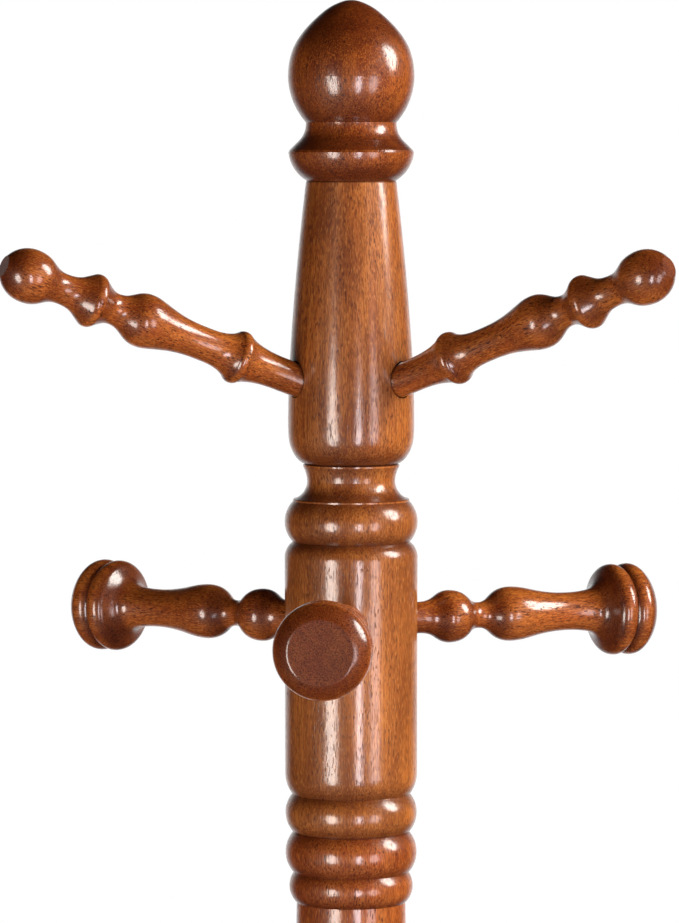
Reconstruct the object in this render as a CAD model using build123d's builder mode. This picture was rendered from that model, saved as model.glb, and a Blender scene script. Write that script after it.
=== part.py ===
from build123d import *

# A free-standing hat-and-coat tree in turned, lacquered hardwood, in millimetres.
#
# +Z is up. The origin is on the floor, on the axis of the post, and -Y is the front, where one coat peg
# points. The post is five turned pieces that screw together. Its head carries three hat pegs that slope
# upwards and, below and between them, three level coat pegs. Four sawn legs bolt to the hub at its foot.

import os
from math import cos, radians, sin, sqrt

# Driving dimensions of the post. Every drop is a distance below the tip of the finial.
TOTAL_HEIGHT = 1770.0
POST_RADIUS = 25.0  # the post is turned from 50 mm stock
FINIAL_LENGTH = 67.5
HEAD_JOINT_DROP = 312.5
SHAFT_LENGTH = 520.0
FINIAL_JOINT = TOTAL_HEIGHT - FINIAL_LENGTH
HEAD_JOINT = TOTAL_HEIGHT - HEAD_JOINT_DROP
MIDDLE_JOINT = HEAD_JOINT - SHAFT_LENGTH
HUB_JOINT = MIDDLE_JOINT - SHAFT_LENGTH

# Beads where two sections of the post meet, alike on both sides of every joint.
JOINT_GROOVE = 22.2
JOINT_CHAMFER = 0.4
BIG_BEAD = 24.75
INNER_GROOVE = 21.7
INNER_GROOVE_DROP = 15.4
SMALL_BEAD = 23.3
SMALL_BEAD_DROP = 20.2
SMALL_BEAD_END_DROP = 26.8
SHAFT_END = 20.55
SHAFT_MIDDLE = 22.4

# Pegs: round tenons glued into blind sockets. Distances run along the peg from the axis of the post.
FRONT = -90.0  # azimuth of the front coat peg, in degrees from +X
COAT_PEG_AZIMUTHS = {"front": FRONT, "right": FRONT + 120, "left": FRONT - 120}
HAT_PEG_AZIMUTHS = {"right": FRONT + 60, "left": FRONT - 60, "back": FRONT + 180}
SOCKET_START = 10.0  # the bottom of each socket, where the end of the tenon stops
SOCKET_GAP = 0.12
MOUTH_GAP = 0.4  # the wider mouth of each socket, where it breaks the post's surface
COAT_PEG_HEIGHT = TOTAL_HEIGHT - 232.7
COAT_TENON = 6.0
HAT_PEG_HEIGHT = TOTAL_HEIGHT - 150.2
HAT_PEG_RISE = 20.5  # degrees above level
HAT_TENON = 6.2
COAT_MOUTH = 22.0
HAT_MOUTH = 20.5

# Foot of the post, and the legs that stand against flats cut on it.
LEG_AZIMUTHS = [FRONT + 45 + 90 * turn for turn in range(4)]
HUB_RADIUS = 31.0
HUB_TOP = 334.0
HUB_FOOT = 194.0
LEG_THICKNESS = 30.0
LEG_TOP = 322.0
LEG_BOTTOM_CORNER = 208.0
LEG_ARRIS = 4.0  # rounding of the long edges
FLAT_DISTANCE = sqrt(HUB_RADIUS**2 - (LEG_THICKNESS / 2) ** 2)
FOOT_HEIGHT = 6.0  # the wood stands this far above the floor, on its glide
TOE_DISTANCE = 300.0
GLIDE_DISTANCE = 272.0

# Hardware.
THREAD_GAP = 0.12  # around every screw, stud, insert and nail
STUD_RADIUS = 5.0
STUD_REACH = 35.0  # into each of the two sections that it joins
INSERT_RADIUS = 8.0
INSERT_LENGTH = 25.0
FINIAL_SCREW_RADIUS = 4.0
FINIAL_SCREW_REACH = 28.0
FINIAL_SCREW_POINT = 5.0
BOLT_RADIUS = 3.0
BOLT_LENGTH = 60.0
BOLT_HEAD_RADIUS = 5.5
BOLT_HEAD_HEIGHT = 4.5
BOLT_SOCKET_RADIUS = 2.3
BOLT_SOCKET_DEPTH = 2.5
BOLT_HEIGHTS = [300.0, 250.0]
WASHER_RADIUS = 6.3
WASHER_THICKNESS = 1.2
BOLT_SEAT = 46.0  # the bottom of the counterbore, from the flat on the hub
COUNTERBORE_RADIUS = 6.8
LEG_INSERT_RADIUS = 5.0
LEG_INSERT_LENGTH = 13.0
GLIDE_RADIUS = 11.5
NAIL_RADIUS = 1.2
NAIL_LENGTH = 18.0


def direction(azimuth, rise=0.0):
    """The unit vector that points out from the post at an azimuth and a rise, both in degrees."""
    level = cos(radians(rise))
    return Vector(level * cos(radians(azimuth)), level * sin(radians(azimuth)), sin(radians(rise)))


def turning_plane(height):
    """The plane of a turned outline: x is the radius, and y is the height above the one given."""
    return Plane(origin=(0, 0, height), x_dir=(1, 0, 0), z_dir=(0, -1, 0))


def radial_plane(height, azimuth, rise=0.0):
    """The plane of a peg's or leg's outline: x runs out from the axis of the post, and y runs up."""
    return Plane(origin=(0, 0, height), x_dir=direction(azimuth, rise), z_dir=direction(azimuth - 90))


def outward_plane(height, azimuth, distance, rise=0.0):
    """The plane across a line out from the post, at a distance from its axis, facing outwards."""
    outward = direction(azimuth, rise)
    return Plane(origin=Vector(0, 0, height) + outward * distance, z_dir=outward)


def level_plane(height):
    return Plane.XY.offset(height)


def bore(plane, radius, depth):
    """Cuts a round hole in the open part, from a plane to a depth along the plane's normal."""
    with BuildSketch(plane) as hole:
        Circle(radius)
    extrude(hole.sketch, amount=depth, mode=Mode.SUBTRACT)


def bead(start, crest_radius, end, crest_height=None):
    """A round bead of a turned outline, between two grooves given as (radius, height)."""
    middle = (Vector(start).Y + Vector(end).Y) / 2
    return ThreePointArc(start, (crest_radius, crest_height or middle), end)


def bead_pair(top):
    """Draws the outline below a joint, from its middle over a big bead and a small one, to the shaft."""
    chamfer_edge = (JOINT_GROOVE, top - JOINT_CHAMFER)
    inner_groove = (INNER_GROOVE, top - INNER_GROOVE_DROP)
    shaft_edge = (SHAFT_END, top - SMALL_BEAD_END_DROP)
    Polyline((0, top), (JOINT_GROOVE - JOINT_CHAMFER, top), chamfer_edge)
    bead(chamfer_edge, BIG_BEAD, inner_groove)
    return bead(inner_groove, SMALL_BEAD, shaft_edge, top - SMALL_BEAD_DROP)


def cyma(*points):
    """A curve of a turned outline that runs along the axis at both its ends."""
    return Spline(*points, tangents=[(1, 0), (1, 0)])


def save(part, name):
    part.label = name
    export_step(part, f"parts/{name}.step")


os.makedirs("parts", exist_ok=True)

# Finial: a pointed ball on a coved neck and a collar, bored underneath for its screw.
with BuildPart() as finial:
    with BuildSketch(turning_plane(FINIAL_JOINT)):
        with BuildLine():
            under = Polyline((0, 0), (16.9, 0), (17.1, 0.3))
            collar = ThreePointArc(under @ 1, (21.6, 4.9), (23.5, 10.6))
            collar_edge = Line(collar @ 1, (23.1, 11.5))
            slope = Line(collar_edge @ 1, (19.6, 15.0))
            cove = ThreePointArc(slope @ 1, (17.7, 17.8), (17.0, 21.8))
            ball_base = ThreePointArc(cove @ 1, (21.3, 28.5), (23.66, 38.6))
            ball_top = Spline(
                ball_base @ 1, (21.0, 51.0), (11.5, 62.2), (3.8, 66.8), tangents=[(0, 1), (-1, 0.37)]
            )
            TangentArc((0, FINIAL_LENGTH), ball_top @ 1, tangent=(1, 0))
            Line((0, FINIAL_LENGTH), (0, 0))
        make_face()
    revolve(axis=Axis.Z)
    bore(level_plane(FINIAL_JOINT), FINIAL_SCREW_RADIUS + THREAD_GAP, FINIAL_SCREW_REACH)
save(finial.part, "finial")

# Double-ended wood screw between the finial and the head of the post.
with BuildPart() as finial_screw:
    with BuildSketch(turning_plane(FINIAL_JOINT)):
        with BuildLine():
            Polyline(
                (0, FINIAL_SCREW_REACH),
                (FINIAL_SCREW_RADIUS / 4, FINIAL_SCREW_REACH),
                (FINIAL_SCREW_RADIUS, FINIAL_SCREW_REACH - FINIAL_SCREW_POINT),
                (FINIAL_SCREW_RADIUS, 0),
                (0, 0),
                close=True,
            )
        make_face()
        mirror(about=Plane.XZ)
    revolve(axis=Axis.Z)
save(finial_screw.part, "finial_screw")

# Head of the post: bead, drum, ring, cove and tall vase in one turning, drilled for both tiers of pegs.
HEAD_LENGTH = FINIAL_JOINT - HEAD_JOINT
with BuildPart() as head_post:
    with BuildSketch(turning_plane(HEAD_JOINT)):
        with BuildLine():
            under = Polyline((0, 0), (JOINT_GROOVE - JOINT_CHAMFER, 0), (JOINT_GROOVE, JOINT_CHAMFER))
            low_bead = bead(under @ 1, BIG_BEAD, (JOINT_GROOVE, 14.4))
            low_shoulder = ThreePointArc(low_bead @ 1, (23.9, 17.4), (24.85, 22.0))
            drum = Line(low_shoulder @ 1, (POST_RADIUS, 103.2))
            high_shoulder = ThreePointArc(drum @ 1, (24.2, 107.1), (22.0, 109.6))
            ring = bead(high_shoulder @ 1, POST_RADIUS, (21.9, 124.9), 117.1)
            ring_step = Polyline(ring @ 1, (21.9, 125.5), (21.5, 125.9), (21.0, 125.9))
            cove = ThreePointArc(ring_step @ 1, (17.3, 129.3), (16.5, 132.4))
            lip = ThreePointArc(cove @ 1, (17.0, 135.4), (18.1, 138.0))
            vase_groove = Polyline(lip @ 1, (18.1, 138.6), (17.5, 139.0), (18.7, 139.5))
            vase_base = Spline(vase_groove @ 1, (22.0, 143.5), (23.7, 153.2), tangents=[(1, 0.7), (0, 1)])
            belly = TangentArc(vase_base @ 1, (22.62, 185.0), tangent=(0, 1))
            taper = TangentArc(belly @ 1, (17.0, HEAD_LENGTH - 0.6), tangent=belly % 1)
            Polyline(taper @ 1, (16.6, HEAD_LENGTH), (0, HEAD_LENGTH), (0, 0))
        make_face()
    revolve(axis=Axis.Z)
    for azimuth in HAT_PEG_AZIMUTHS.values():
        socket = outward_plane(HAT_PEG_HEIGHT, azimuth, SOCKET_START, HAT_PEG_RISE)
        bore(socket, HAT_TENON + SOCKET_GAP, POST_RADIUS)
        mouth = outward_plane(HAT_PEG_HEIGHT, azimuth, HAT_MOUTH, HAT_PEG_RISE)
        bore(mouth, HAT_TENON + MOUTH_GAP, POST_RADIUS)
    for azimuth in COAT_PEG_AZIMUTHS.values():
        socket = outward_plane(COAT_PEG_HEIGHT, azimuth, SOCKET_START)
        bore(socket, COAT_TENON + SOCKET_GAP, POST_RADIUS)
        bore(outward_plane(COAT_PEG_HEIGHT, azimuth, COAT_MOUTH), COAT_TENON + MOUTH_GAP, POST_RADIUS)
    bore(level_plane(FINIAL_JOINT), FINIAL_SCREW_RADIUS + THREAD_GAP, -FINIAL_SCREW_REACH)
    bore(level_plane(HEAD_JOINT), STUD_RADIUS + THREAD_GAP, STUD_REACH)
save(head_post.part, "head_post")

# Coat pegs: tenon, ball, waist, vase, long neck, and a double-rimmed disc that stops a collar loop.
for side, azimuth in COAT_PEG_AZIMUTHS.items():
    with BuildPart() as coat_peg:
        with BuildSketch(radial_plane(COAT_PEG_HEIGHT, azimuth)):
            with BuildLine():
                tenon = Polyline((SOCKET_START, 0), (SOCKET_START, COAT_TENON), (28.5, COAT_TENON))
                ball_rise = cyma(tenon @ 1, (34.5, 7.45), (40.9, 10.0))
                ball_fall = cyma(ball_rise @ 1, (47.2, 8.1), (53.2, 4.9))
                vase_rise = cyma(ball_fall @ 1, (60.0, 8.25), (66.8, 10.4))
                vase_fall = cyma(vase_rise @ 1, (76.9, 8.85), (90.8, 7.25))
                flare = Spline(
                    vase_fall @ 1, (98.2, 7.7), (102.8, 9.0), (106.7, 14.6), tangents=[(1, 0), (0.45, 1)]
                )
                inner_rim = ThreePointArc(flare @ 1, (111.0, 17.5), (114.2, 16.0))
                outer_rim = ThreePointArc(inner_rim @ 1, (117.6, 17.6), (120.6, 16.6))
                shoulder = ThreePointArc(outer_rim @ 1, (122.75, 14.5), (124.3, 12.1))
                face_edge = Line(shoulder @ 1, (124.45, 11.6))
                Polyline(face_edge @ 1, (124.45, 0), (SOCKET_START, 0))
            make_face()
        revolve(axis=Axis(origin=(0, 0, COAT_PEG_HEIGHT), direction=direction(azimuth)))
    save(coat_peg.part, f"coat_peg_{side}")

# Hat pegs: tenon, collar, waist, vase, second collar and a ball with its tip cut flat.
for side, azimuth in HAT_PEG_AZIMUTHS.items():
    with BuildPart() as hat_peg:
        with BuildSketch(radial_plane(HAT_PEG_HEIGHT, azimuth, HAT_PEG_RISE)):
            with BuildLine():
                tenon = Polyline((SOCKET_START, 0), (SOCKET_START, HAT_TENON), (28.0, HAT_TENON))
                rise = Spline(tenon @ 1, (42.7, 7.4), (47.8, 9.4), tangents=[(1, 0), (1, 0.65)])
                collar = ThreePointArc(rise @ 1, (49.9, 10.05), (52.0, 9.0))
                collar_fall = Spline(collar @ 1, (55.1, 7.4), (65.2, 6.28), tangents=[(1, -0.8), (1, 0)])
                vase_rise = cyma(collar_fall @ 1, (76.5, 7.2), (85.5, 9.45), (90.0, 10.07))
                vase_fall = cyma(vase_rise @ 1, (96.7, 7.7), (102.4, 5.9))
                neck_rise = Spline(vase_fall @ 1, (107.2, 7.7), (109.8, 9.6), tangents=[(1, 0), (1, 0.8)])
                tip_collar = ThreePointArc(neck_rise @ 1, (111.5, 10.1), (113.7, 9.4))
                collar_end = Spline(tip_collar @ 1, (118.5, 6.6), (124.1, 5.73), tangents=[(1, -0.6), (1, 0)])
                ball_rise = cyma(collar_end @ 1, (132.8, 9.1), (138.1, 10.05))
                ball_fall = TangentArc(ball_rise @ 1, (147.7, 5.0), tangent=(1, 0))
                Polyline(ball_fall @ 1, (148.5, 4.0), (148.5, 0), (SOCKET_START, 0))
            make_face()
        peg_axis = Axis(origin=(0, 0, HAT_PEG_HEIGHT), direction=direction(azimuth, HAT_PEG_RISE))
        revolve(axis=peg_axis)
    save(hat_peg.part, f"hat_peg_{side}")

# Two alike shaft sections: a long, slightly swelling shaft with the same beads at both ends.
for name, bottom in (("upper_shaft", MIDDLE_JOINT), ("lower_shaft", HUB_JOINT)):
    with BuildPart() as shaft:
        half = SHAFT_LENGTH / 2
        with BuildSketch(turning_plane(bottom + half)):
            with BuildLine():
                small_bead = bead_pair(half)
                TangentArc((SHAFT_MIDDLE, 0), small_bead @ 1, tangent=(0, 1))
                Polyline((SHAFT_MIDDLE, 0), (0, 0), (0, half))
            make_face()
            mirror(about=Plane.XZ)
        revolve(axis=Axis.Z)
        top_face = level_plane(bottom + SHAFT_LENGTH)
        bore(top_face, INSERT_RADIUS + THREAD_GAP, -INSERT_LENGTH)
        bore(top_face, STUD_RADIUS + THREAD_GAP, -STUD_REACH)
        bore(level_plane(bottom), STUD_RADIUS + THREAD_GAP, STUD_REACH)
    save(shaft.part, name)

# Leg hub: the lowest turning, with the joint's beads, a flat for each leg and a pendant below them.
PENDANT_TOP = 174.0 - HUB_JOINT
PENDANT_END = 136.0 - HUB_JOINT
with BuildPart() as leg_hub:
    with BuildSketch(turning_plane(HUB_JOINT)):
        with BuildLine():
            small_bead = bead_pair(0)
            flare = Spline(
                small_bead @ 1, (22.5, -56.0), (HUB_RADIUS, HUB_TOP - HUB_JOINT), tangents=[(0, -1), (1, -1)]
            )
            drum = Line(flare @ 1, (HUB_RADIUS, HUB_FOOT - HUB_JOINT))
            drum_end = Line(drum @ 1, (24.0, HUB_FOOT - HUB_JOINT - 5))
            pendant_cove = ThreePointArc(drum_end @ 1, (17.0, PENDANT_TOP + 7), (18.0, PENDANT_TOP))
            pendant_ball = ThreePointArc(pendant_cove @ 1, (20.5, PENDANT_TOP - 13), (8.0, PENDANT_END + 2.5))
            TangentArc((0, PENDANT_END), pendant_ball @ 1, tangent=(1, 0))
            Line((0, PENDANT_END), (0, 0))
        make_face()
    revolve(axis=Axis.Z)
    for azimuth in LEG_AZIMUTHS:
        with BuildSketch(radial_plane(0, azimuth)):
            with Locations((FLAT_DISTANCE, LEG_BOTTOM_CORNER)):
                Rectangle(HUB_RADIUS, LEG_TOP - LEG_BOTTOM_CORNER, align=(Align.MIN, Align.MIN))
        extrude(amount=HUB_RADIUS, both=True, mode=Mode.SUBTRACT)
        for height in BOLT_HEIGHTS:
            flat = outward_plane(height, azimuth, FLAT_DISTANCE)
            bore(flat, LEG_INSERT_RADIUS + THREAD_GAP, -LEG_INSERT_LENGTH)
            bore(flat, BOLT_RADIUS + THREAD_GAP, -LEG_INSERT_LENGTH - 3)
    bore(level_plane(HUB_JOINT), INSERT_RADIUS + THREAD_GAP, -INSERT_LENGTH)
    bore(level_plane(HUB_JOINT), STUD_RADIUS + THREAD_GAP, -STUD_REACH)
save(leg_hub.part, "leg_hub")

# Studs and threaded inserts of the three joints between sections of the post.
with BuildPart() as joint_studs:
    for height in (HEAD_JOINT, MIDDLE_JOINT, HUB_JOINT):
        with BuildSketch(level_plane(height)):
            Circle(STUD_RADIUS)
        extrude(amount=STUD_REACH, both=True)
save(joint_studs.part, "joint_studs")

with BuildPart() as joint_inserts:
    for height in (HEAD_JOINT, MIDDLE_JOINT, HUB_JOINT):
        with BuildSketch(level_plane(height)):
            Circle(INSERT_RADIUS)
            Circle(STUD_RADIUS + THREAD_GAP, mode=Mode.SUBTRACT)
        extrude(amount=-INSERT_LENGTH)
save(joint_inserts.part, "joint_inserts")

# Legs: sawn in an S-curve, with rounded edges, counterbored from their outer curve for two bolts each.
for number, azimuth in enumerate(LEG_AZIMUTHS, start=1):
    with BuildPart() as leg:
        with BuildSketch(radial_plane(0, azimuth)):
            with BuildLine():
                top_corner = (FLAT_DISTANCE, LEG_TOP)
                top_curve = Spline(
                    top_corner, (88.0, 308.0), (170.0, 170.0), (236.0, 62.0), (TOE_DISTANCE, 38.0),
                    tangents=[(1, -0.05), (1, -0.1)],
                )
                toe = ThreePointArc(top_curve @ 1, (TOE_DISTANCE + 13, 21.0), (TOE_DISTANCE - 2, FOOT_HEIGHT))
                sole = Line(toe @ 1, (GLIDE_DISTANCE - 16, FOOT_HEIGHT))
                under_curve = Spline(
                    sole @ 1, (196.0, 50.0), (130.0, 150.0), (FLAT_DISTANCE, LEG_BOTTOM_CORNER),
                    tangents=[(-1, 0.3), (-1, -0.05)],
                )
                Line(under_curve @ 1, top_corner)
            make_face()
        extrude(amount=LEG_THICKNESS / 2, both=True)
        long_edges = leg.edges().filter_by(GeomType.BSPLINE)
        fillet(long_edges, LEG_ARRIS)
        for height in BOLT_HEIGHTS:
            bore(outward_plane(height, azimuth, FLAT_DISTANCE), BOLT_RADIUS + THREAD_GAP, BOLT_SEAT)
            bore(outward_plane(height, azimuth, FLAT_DISTANCE + BOLT_SEAT), COUNTERBORE_RADIUS, 2 * BOLT_SEAT)
        nail_hole = Plane(origin=direction(azimuth) * GLIDE_DISTANCE + Vector(0, 0, FOOT_HEIGHT))
        bore(nail_hole, NAIL_RADIUS + THREAD_GAP, NAIL_LENGTH)
    save(leg.part, f"leg_{number}")

# Leg bolts, washers and threaded inserts, one of each in every bolt hole.
bolt_places = [(height, azimuth) for azimuth in LEG_AZIMUTHS for height in BOLT_HEIGHTS]
UNDER_HEAD = FLAT_DISTANCE + BOLT_SEAT + WASHER_THICKNESS
with BuildPart() as leg_bolts:
    for height, azimuth in bolt_places:
        with BuildSketch(outward_plane(height, azimuth, UNDER_HEAD)):
            Circle(BOLT_RADIUS)
        extrude(amount=-BOLT_LENGTH)
        with BuildSketch(outward_plane(height, azimuth, UNDER_HEAD)):
            Circle(BOLT_HEAD_RADIUS)
        extrude(amount=BOLT_HEAD_HEIGHT)
        with BuildSketch(outward_plane(height, azimuth, UNDER_HEAD + BOLT_HEAD_HEIGHT)):
            RegularPolygon(BOLT_SOCKET_RADIUS, 6)
        extrude(amount=-BOLT_SOCKET_DEPTH, mode=Mode.SUBTRACT)
save(leg_bolts.part, "leg_bolts")

with BuildPart() as leg_washers:
    for height, azimuth in bolt_places:
        with BuildSketch(outward_plane(height, azimuth, FLAT_DISTANCE + BOLT_SEAT)):
            Circle(WASHER_RADIUS)
            Circle(BOLT_RADIUS + THREAD_GAP, mode=Mode.SUBTRACT)
        extrude(amount=WASHER_THICKNESS)
save(leg_washers.part, "leg_washers")

with BuildPart() as leg_inserts:
    for height, azimuth in bolt_places:
        with BuildSketch(outward_plane(height, azimuth, FLAT_DISTANCE)):
            Circle(LEG_INSERT_RADIUS)
            Circle(BOLT_RADIUS + THREAD_GAP, mode=Mode.SUBTRACT)
        extrude(amount=-LEG_INSERT_LENGTH)
save(leg_inserts.part, "leg_inserts")

# Foot glides: a nylon button with a nail, under the toe of each leg.
with BuildPart() as foot_glides:
    for azimuth in LEG_AZIMUTHS:
        foot = direction(azimuth) * GLIDE_DISTANCE
        with BuildSketch(Plane(origin=foot)):
            Circle(GLIDE_RADIUS - 1.5)
        with BuildSketch(Plane(origin=foot + Vector(0, 0, 1.5))):
            Circle(GLIDE_RADIUS)
        loft()
        with BuildSketch(Plane(origin=foot + Vector(0, 0, 1.5))):
            Circle(GLIDE_RADIUS)
        extrude(amount=FOOT_HEIGHT - 1.5)
        with BuildSketch(Plane(origin=foot + Vector(0, 0, FOOT_HEIGHT))):
            Circle(NAIL_RADIUS)
        extrude(amount=NAIL_LENGTH)
save(foot_glides.part, "foot_glides")
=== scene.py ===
"""Looks of the hat and coat tree: stained and lacquered wood, plated hardware, camera, floor and lights.

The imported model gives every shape. This script gives each piece its own cut of wood, with the grain along
the piece, and adds nothing to the shapes. Everything is in metres, in the row's frame: +Z up, -Y the front.
"""

from math import atan2, cos, degrees, pi, radians, sin

import bpy
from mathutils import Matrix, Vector


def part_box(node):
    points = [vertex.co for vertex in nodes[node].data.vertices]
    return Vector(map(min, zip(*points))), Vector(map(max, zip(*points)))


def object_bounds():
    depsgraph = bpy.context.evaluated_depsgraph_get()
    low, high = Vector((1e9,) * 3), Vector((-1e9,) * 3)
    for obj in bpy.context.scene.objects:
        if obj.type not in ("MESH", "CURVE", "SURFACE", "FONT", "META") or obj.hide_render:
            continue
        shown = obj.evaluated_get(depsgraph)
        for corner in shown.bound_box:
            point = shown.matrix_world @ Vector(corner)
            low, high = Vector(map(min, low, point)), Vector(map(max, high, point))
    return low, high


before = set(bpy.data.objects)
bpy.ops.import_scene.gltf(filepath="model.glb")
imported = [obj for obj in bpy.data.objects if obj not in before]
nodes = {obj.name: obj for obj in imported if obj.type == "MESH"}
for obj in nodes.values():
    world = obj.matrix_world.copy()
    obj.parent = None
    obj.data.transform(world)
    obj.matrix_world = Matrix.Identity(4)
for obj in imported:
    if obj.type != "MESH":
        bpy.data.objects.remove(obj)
cad_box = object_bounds()

UP = Vector((0, 0, 1))
TIP = cad_box[1].z  # the tip of the finial
HAT_PEG_RISE = 20.5  # degrees above level
LEG_FALL = -58.0  # the slope of a leg's plank, which its grain follows
PEG_AIMS = {  # where each peg points: its azimuth and its rise, in degrees
    "coat_peg_front": (-90, 0),
    "coat_peg_right": (30, 0),
    "coat_peg_left": (150, 0),
    "hat_peg_right": (-30, HAT_PEG_RISE),
    "hat_peg_left": (210, HAT_PEG_RISE),
    "hat_peg_back": (90, HAT_PEG_RISE),
}

GROWTH_RING = 0.0045  # the width of one year's wood
RING_WANDER = 0.016  # how far the rings stray from true circles
PAINTED_SHADE_REACH = 0.006  # how near another surface must be for shade to be painted, in the stain's colour
PORE_DEPTH = 0.0001
FILM_DEPTH = 0.00008  # the height of the lacquer's orange peel


def direction(azimuth, rise=0.0):
    level = cos(radians(rise))
    return Vector((level * cos(radians(azimuth)), level * sin(radians(azimuth)), sin(radians(rise))))


def middle(name):
    low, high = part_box(name)
    return (low + high) / 2


# Shader building blocks.


class Graph:
    """A small helper that adds nodes to one node tree and links them."""

    def __init__(self, tree):
        self.tree = tree

    def node(self, kind, inputs=None, **settings):
        made = self.tree.nodes.new(kind)
        for key, value in settings.items():
            setattr(made, key, value)
        for key, value in (inputs or {}).items():
            self.feed(made.inputs[key], value)
        return made

    def feed(self, socket, value):
        if isinstance(value, bpy.types.NodeSocket):
            self.tree.links.new(value, socket)
        else:
            socket.default_value = value

    def math(self, operation, *values):
        made = self.node("ShaderNodeMath", operation=operation)
        for socket, value in zip(made.inputs, values):
            self.feed(socket, value)
        return made.outputs[0]

    def vector(self, operation, *values, output="Vector"):
        made = self.node("ShaderNodeVectorMath", operation=operation)
        for socket, value in zip(made.inputs, values):
            self.feed(socket, value)
        return made.outputs[output]

    def ramp(self, value, low, high, start=0.0, end=1.0):
        """Start below low, end above high, and a smooth step in between."""
        made = self.node(
            "ShaderNodeMapRange",
            {"Value": value, "From Min": low, "From Max": high, "To Min": start, "To Max": end},
            interpolation_type="SMOOTHSTEP",
        )
        return made.outputs["Result"]

    def mix(self, factor, first, second, blend="MIX"):
        made = self.node("ShaderNodeMix", data_type="RGBA", blend_type=blend)
        self.feed(made.inputs["Factor"], factor)
        for socket, value in ((made.inputs[6], first), (made.inputs[7], second)):
            self.feed(socket, value if isinstance(value, bpy.types.NodeSocket) else (*value, 1.0))
        return made.outputs[2]

    def noise(self, vector, scale, detail=2.0, roughness=0.5):
        made = self.node(
            "ShaderNodeTexNoise",
            {"Vector": vector, "Scale": scale, "Detail": detail, "Roughness": roughness},
        )
        return made.outputs["Fac"]

    def stretched(self, vector, along):
        """The same place with Z scaled down, which draws a pattern out along the grain."""
        made = self.node("ShaderNodeMapping", {"Vector": vector, "Scale": (1, 1, along)})
        return made.outputs["Vector"]

    def bump(self, height, strength, distance):
        made = self.node(
            "ShaderNodeBump",
            {"Strength": strength, "Distance": distance, "Height": height},
        )
        return made.outputs["Normal"]


class Shader(Graph):
    """The node tree of one new material, with its principled surface."""

    def __init__(self, name):
        self.material = bpy.data.materials.new(name)
        self.material.use_nodes = True
        super().__init__(self.material.node_tree)
        self.surface = self.tree.nodes["Principled BSDF"]

    def give(self, socket, value):
        self.feed(self.surface.inputs[socket], value)

    def set(self, **values):
        for key, value in values.items():
            self.surface.inputs[key.replace("_", " ")].default_value = value


# Wood.


def grain_space(shader, centre, axis, pith):
    """Coordinates with the grain along Z and the middle of the tree's trunk at a chosen distance."""
    turn = axis.rotation_difference(UP).to_matrix()
    place = Vector(pith) - turn @ centre
    where = shader.node("ShaderNodeTexCoord").outputs["Object"]
    mapped = shader.node(
        "ShaderNodeMapping",
        {"Vector": where, "Location": place, "Rotation": turn.to_euler()},
    )
    return mapped.outputs["Vector"]


def growth_rings(shader, space):
    """How dark the wood is within each year's ring, from 0 in early wood to 1 in late wood."""
    wander = shader.node(
        "ShaderNodeTexNoise",
        {"Vector": shader.stretched(space, 0.12), "Scale": 28.0, "Detail": 2.0},
    )
    centred = shader.vector("SUBTRACT", wander.outputs["Color"], (0.5, 0.5, 0.5))
    shifted = shader.vector("MULTIPLY_ADD", centred, (RING_WANDER, RING_WANDER, RING_WANDER), space)
    flat = shader.vector("MULTIPLY", shifted, (1, 1, 0))
    depth = shader.vector("LENGTH", flat, output="Value")
    turns = shader.math("DIVIDE", depth, GROWTH_RING)
    late = shader.ramp(shader.math("FRACT", turns), 0.30, 0.95)
    year = shader.noise(shader.node("ShaderNodeCombineXYZ", {"X": turns}).outputs[0], 0.9, 1.0)
    return shader.math("MULTIPLY", late, shader.ramp(year, 0.35, 0.75, 0.2, 1.0))


def pores(shader, space):
    """Short open vessels along the grain, crowded in some bands and scarce in others."""
    dashes = shader.noise(shader.stretched(space, 0.22), 1900.0, 0.0)
    crowd = shader.noise(shader.stretched(space, 0.1), 160.0, 1.0)
    density = shader.ramp(crowd, 0.36, 0.60, 0.55, 1.0)
    return shader.math("MULTIPLY", shader.ramp(dashes, 0.645, 0.70), density)


def gold(light):
    """The colour of the pale flecks in wood of a light tone."""
    return 1.6 * light[0], 2.0 * light[1], 2.2 * light[2]


def grain(shader, space, fibre, tone, fleck, run):
    """Ribbons, patches, late wood, fibres, dark grit and pale flecks. A small run draws the last two out."""
    light, even, dark, stain = tone
    ribbon = shader.noise(shader.stretched(space, 0.05), 170.0, 3.0, 0.6)
    patch = shader.noise(shader.stretched(space, 0.40), 60.0, 2.0, 0.5)
    glint = shader.noise(shader.stretched(space, run), 2900.0, 0.0)
    grit = shader.noise(shader.stretched(space, run), 2700.0, 1.0, 0.4)
    body = shader.mix(shader.ramp(ribbon, 0.30, 0.70), even, light)
    body = shader.mix(shader.ramp(patch, 0.38, 0.68, 0.0, 0.65), body, dark)
    body = shader.mix(shader.math("MULTIPLY", growth_rings(shader, space), 0.50), body, dark)
    body = shader.mix(shader.ramp(fibre, 0.42, 0.62, 0.0, 0.58), body, dark)
    body = shader.mix(shader.ramp(grit, 0.52, 0.66, 0.0, 0.45), body, stain)
    return shader.mix(shader.ramp(glint, 0.58, 0.70, 0.0, fleck), body, gold(light))


def paler_foot(shader, space, pith, foot, body, light):
    """Wood whose lower half is paler, by as much as foot."""
    along = shader.node("ShaderNodeSeparateXYZ", {0: space}).outputs["Z"]
    below = shader.ramp(shader.math("SUBTRACT", along, pith[2]), -0.03, 0.03, foot, 0.0)
    return shader.mix(below, body, gold(light))


def darker_ends(shader, axis, body):
    """End grain soaks up more stain than the sides do."""
    facing = shader.node("ShaderNodeTexCoord").outputs["Normal"]
    end_grain = shader.math("ABSOLUTE", shader.vector("DOT_PRODUCT", facing, axis, output="Value"))
    return shader.mix(shader.ramp(end_grain, 0.15, 0.75), body, (0.48, 0.39, 0.37), "MULTIPLY")


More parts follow.
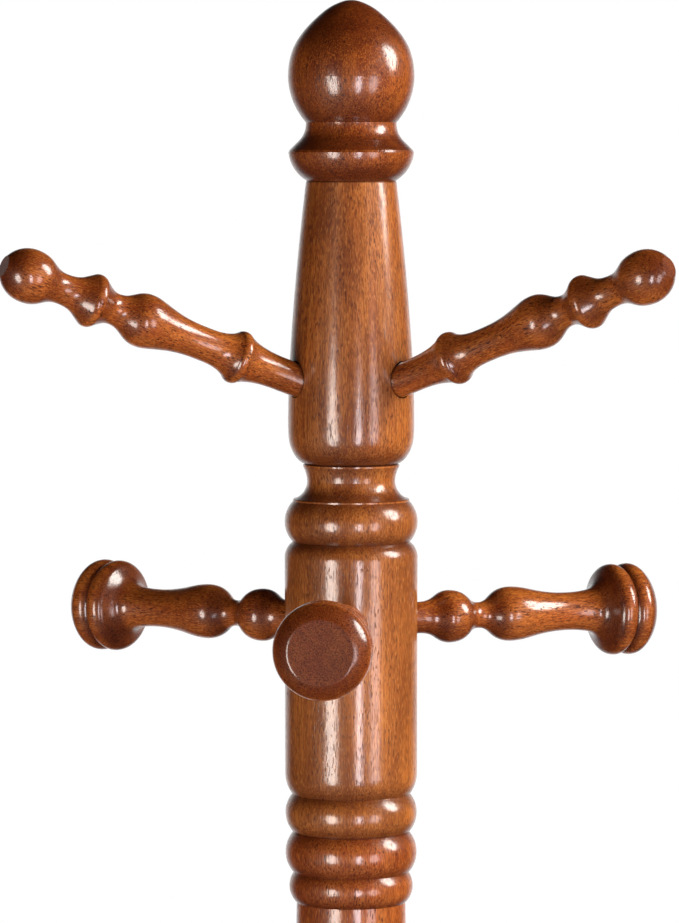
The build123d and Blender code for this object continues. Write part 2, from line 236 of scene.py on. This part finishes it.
def stain_and_painted_shade(shader, body, stain):
    """Painted shade, in the stain's colour, in grooves and round the pegs' roots where other surfaces are
    near; stain also gathers there.
    """
    painted_shade_mask = shader.node("ShaderNodeAmbientOcclusion", {"Distance": PAINTED_SHADE_REACH}, samples=8)
    return shader.mix(shader.ramp(painted_shade_mask.outputs["AO"], 0.25, 0.85, 0.85, 0.0), body, stain)


def lacquer(shader, space, pore, ripple):
    """A clear coat, thin over the open pores and with a little orange peel."""
    shader.give("Coat Weight", shader.math("MULTIPLY_ADD", pore, -0.75, 1.0))
    orange_peel = shader.noise(shader.stretched(space, 0.35), 700.0, 3.0, 0.6)
    film = shader.math("SUBTRACT", orange_peel, shader.math("MULTIPLY", pore, 0.3))
    shader.give("Coat Normal", shader.bump(film, ripple, FILM_DEPTH))
    shader.set(Coat_Roughness=0.18, Coat_IOR=1.5)


def wood(name, centre, axis, pith, tone, fleck=0.25, run=0.18, ripple=0.6, foot=0.0):
    """Stained, lacquered hardwood, cut so that its growth rings run round the given pith."""
    light, stain = tone[0], tone[3]
    shader = Shader(name)
    space = grain_space(shader, centre, axis, pith)
    fibre = shader.noise(shader.stretched(space, 0.03), 1700.0, 3.0, 0.6)
    pore = pores(shader, space)
    body = grain(shader, space, fibre, tone, fleck, run)
    body = shader.mix(shader.math("MULTIPLY", pore, 0.80), body, stain)
    body = paler_foot(shader, space, pith, foot, body, light)
    body = darker_ends(shader, axis, body)
    # The base colour darkens to the stain's colour near other surfaces: painted shade in grooves and round
    # the pegs' roots.
    shader.give("Base Color", stain_and_painted_shade(shader, body, stain))
    shader.give("Roughness", shader.ramp(fibre, 0.2, 0.8, 0.42, 0.56))
    shader.give("Normal", shader.bump(shader.math("SUBTRACT", 1.0, pore), 0.3, PORE_DEPTH))
    lacquer(shader, space, pore, ripple)
    shader.set(Specular_IOR_Level=0.08)
    return shader.material


# Hardware.


def metal(name, colour, roughness, wear):
    """Plated or blackened steel, or brass, with fine scratches and a little tarnish."""
    shader = Shader(name)
    where = shader.node("ShaderNodeTexCoord").outputs["Object"]
    cloud = shader.noise(where, 240.0, 3.0)
    scratch = shader.noise(shader.stretched(where, 0.1), 2600.0, 2.0)
    dull = tuple(wear * channel for channel in colour)
    shader.give("Base Color", shader.mix(shader.ramp(cloud, 0.40, 0.75), colour, dull))
    tarnish = shader.ramp(cloud, 0.3, 0.8, roughness, roughness + 0.12)
    rough = shader.math("MULTIPLY_ADD", shader.ramp(scratch, 0.3, 0.7), 0.12, tarnish)
    shader.give("Roughness", rough)
    shader.give("Normal", shader.bump(scratch, 0.2, 0.00005))
    shader.set(Metallic=1.0)
    return shader.material


def moulded(name, colour):
    """Moulded plastic with a fine matt grain and scuffs."""
    shader = Shader(name)
    where = shader.node("ShaderNodeTexCoord").outputs["Object"]
    texture = shader.noise(where, 1800.0, 2.0)
    scuff = shader.noise(where, 130.0, 3.0)
    pale = tuple(0.6 * channel + 0.12 for channel in colour)
    shader.give("Base Color", shader.mix(shader.ramp(scuff, 0.50, 0.75, 0.0, 0.6), colour, pale))
    shader.give("Roughness", shader.ramp(scuff, 0.3, 0.7, 0.45, 0.65))
    shader.give("Normal", shader.bump(texture, 0.35, 0.00008))
    return shader.material


def finish(name, material):
    nodes[name].data.materials.clear()
    nodes[name].data.materials.append(material)


# Materials. A tone is light, even and dark wood, and the stain that settles in pores and grooves, whose
# colour also paints the shade in grooves and round the pegs' roots.

HONEY = ((0.44, 0.145, 0.030), (0.34, 0.092, 0.016), (0.14, 0.027, 0.005), (0.075, 0.018, 0.006))
RUSSET = ((0.35, 0.088, 0.013), (0.235, 0.046, 0.007), (0.120, 0.020, 0.004), (0.045, 0.009, 0.003))
AMBER = ((0.44, 0.125, 0.022), (0.33, 0.070, 0.011), (0.17, 0.028, 0.005), (0.060, 0.012, 0.004))
CHESTNUT = ((0.47, 0.137, 0.023), (0.35, 0.077, 0.012), (0.150, 0.024, 0.004), (0.040, 0.009, 0.003))

POST_PIECES = {  # the tone of each piece, and where its middle lies from the trunk's pith
    "finial": (RUSSET, (0.040, -0.062, 0.0)),
    "head_post": (HONEY, (0.062, -0.030, 0.2)),
    "upper_shaft": (AMBER, (-0.055, -0.040, 0.5)),
    "lower_shaft": (HONEY, (0.050, -0.045, 0.9)),
    "leg_hub": (RUSSET, (0.058, -0.050, 1.3)),
}
for name, (tone, pith) in POST_PIECES.items():
    fleck, run = (0.45, 0.45) if name == "finial" else (0.25, 0.14)
    foot = 0.05 if name == "head_post" else 0.0
    finish(name, wood(f"{name}_wood", middle(name), UP, pith, tone, fleck, run, foot=foot))
for order, (name, (azimuth, rise)) in enumerate(PEG_AIMS.items()):
    axis = direction(azimuth, rise)
    pith = (0.030, 0.012, 0.4 * order)
    finish(name, wood(f"{name}_wood", middle(name), axis, pith, CHESTNUT, run=0.25, ripple=0.12))
for number in range(1, 5):
    name = f"leg_{number}"
    centre = middle(name)
    axis = direction(degrees(atan2(centre.y, centre.x)), LEG_FALL)
    pith = (0.050, 0.060, 0.3 * number)
    finish(name, wood(f"{name}_wood", centre, axis, pith, HONEY))

ZINC = metal("zinc_plate", (0.62, 0.62, 0.60), 0.28, 0.7)
BLACK_OXIDE = metal("black_oxide", (0.035, 0.034, 0.036), 0.38, 0.6)
BRASS = metal("turned_brass", (0.72, 0.50, 0.20), 0.24, 0.75)
for name in ("finial_screw", "joint_studs"):
    finish(name, ZINC)
for name in ("joint_inserts", "leg_inserts"):
    finish(name, BRASS)
for name in ("leg_bolts", "leg_washers"):
    finish(name, BLACK_OXIDE)
finish("foot_glides", moulded("glide_nylon", (0.045, 0.036, 0.030)))

for node in nodes.values():
    node.data.shade_smooth()

# Camera: a little below the finial's tip and to the right of straight ahead, looking slightly down.
CAMERA_DISTANCE = 1.831
CAMERA_AZIMUTH = -85.0
CAMERA_DROP = 0.0619  # below the tip of the finial
CAMERA_TILT = 3.465  # degrees below level
CAMERA_PAN = 0.137  # degrees to the left of the post's axis
CAMERA_LENS = 190.45  # millimetres, on a 36 mm sensor
camera = bpy.data.objects.new("camera", bpy.data.cameras.new("camera"))
bpy.context.scene.collection.objects.link(camera)
bpy.context.scene.camera = camera
camera.data.lens = CAMERA_LENS
camera.data.sensor_width = 36.0
camera.data.clip_end = 50.0
camera.location = direction(CAMERA_AZIMUTH) * CAMERA_DISTANCE + Vector((0, 0, TIP - CAMERA_DROP))
camera.rotation_euler = (radians(90 - CAMERA_TILT), 0, radians(CAMERA_AZIMUTH + 90 + CAMERA_PAN))

# Floor: pale paper that glows, dimly beside the tree and more with its distance from it, so that it
# brightens into the white backdrop: painted light.
bpy.ops.mesh.primitive_circle_add(vertices=96, radius=8.0, fill_type="NGON")
floor = bpy.context.object
floor.name = "floor"
glowing_paper = Shader("floor_glowing_paper")
spot = glowing_paper.node("ShaderNodeTexCoord").outputs["Object"]
from_tree = glowing_paper.vector("LENGTH", spot, output="Value")
# Painted light: the paper's glow, rising from dim beside the tree to nearly white far away.
glowing_paper.give("Emission Strength", glowing_paper.ramp(from_tree, 0.5, 5.0, 0.12, 0.95))
glowing_paper.set(Base_Color=(0.80, 0.80, 0.80, 1.0), Roughness=0.7, Emission_Color=(1.0, 1.0, 1.0, 1.0))
floor.data.materials.append(glowing_paper.material)
floor.visible_glossy = False

# Lights: softboxes round the head of the tree, and a bright backdrop behind it, as the camera sees it.
LIT_POINT = Vector((0, 0, TIP - 0.17))
AWAY = -direction(CAMERA_AZIMUTH)
RIGHT = direction(CAMERA_AZIMUTH + 90)


def softbox(name, bearing, distance, size, radiance, colour, diffuse=True, glossy=True):
    """A soft oval light that faces the head, on a bearing of right, away and up. Radiance is in W/m2/sr."""
    lamp = bpy.data.lights.new(name, "AREA")
    lamp.shape = "ELLIPSE"
    lamp.size, lamp.size_y = size
    lamp.energy = radiance * pi * (pi / 4 * size[0] * size[1])
    lamp.color = colour
    box = bpy.data.objects.new(name, lamp)
    bpy.context.scene.collection.objects.link(box)
    right, away, up = bearing
    outward = (RIGHT * right + AWAY * away + UP * up).normalized()
    box.location = LIT_POINT + outward * distance
    box.rotation_euler = outward.to_track_quat("Z", "Y").to_euler()
    box.visible_camera = False
    box.visible_diffuse = diffuse
    box.visible_glossy = glossy


# The key and two fills light the wood, and three lights in front only show as reflections in the lacquer.
DAYLIGHT = (1.0, 0.96, 0.90)
softbox("key", (0.893, -0.10, 0.43), 2.2, (0.92, 1.25), 22.0, DAYLIGHT)
softbox("window", (0.76, -0.60, 0.25), 2.2, (1.3, 1.3), 9.0, DAYLIGHT, glossy=False)
softbox("fill", (-0.62, -0.66, -0.42), 1.3, (1.3, 1.3), 2.35, (1.0, 0.84, 0.70), glossy=False)
softbox("front_left", (-0.555, -0.81, -0.19), 2.2, (0.74, 1.25), 17.0, (1.0, 0.95, 0.88), diffuse=False)
softbox("front_middle", (0.235, -0.94, -0.20), 2.2, (0.34, 1.15), 21.0, (1.0, 0.93, 0.97), diffuse=False)
softbox("front_right", (0.66, -0.73, -0.16), 2.2, (0.65, 1.15), 8.0, (1.0, 0.90, 0.92), diffuse=False)

# Studio: white as seen by the camera. To everything else it is a glow low behind the tree, a faint one in
# front, and nearly dark above.
world = bpy.data.worlds.new("studio")
bpy.context.scene.world = world
world.use_nodes = True
studio = Graph(world.node_tree)
toward = studio.node("ShaderNodeTexCoord").outputs["Generated"]
backdrop = studio.vector("DOT_PRODUCT", toward, AWAY, output="Value")
height = studio.node("ShaderNodeSeparateXYZ", {0: toward}).outputs["Z"]
behind = studio.ramp(backdrop, 0.60, 0.97, 0.0, 1.0)
ahead = studio.ramp(backdrop, -0.90, 0.10, 0.10, 0.0)
sky = studio.ramp(height, 0.10, 0.45, 1.0, 0.05)
glow = studio.math("MULTIPLY", studio.math("ADD", behind, ahead), sky)
seen = studio.node("ShaderNodeLightPath").outputs["Is Camera Ray"]
background = studio.tree.nodes["Background"]
studio.feed(background.inputs["Color"], (1, 1, 1, 1))
studio.feed(background.inputs["Strength"], studio.math("MAXIMUM", seen, glow))
bpy.context.scene.view_settings.view_transform = "Standard"
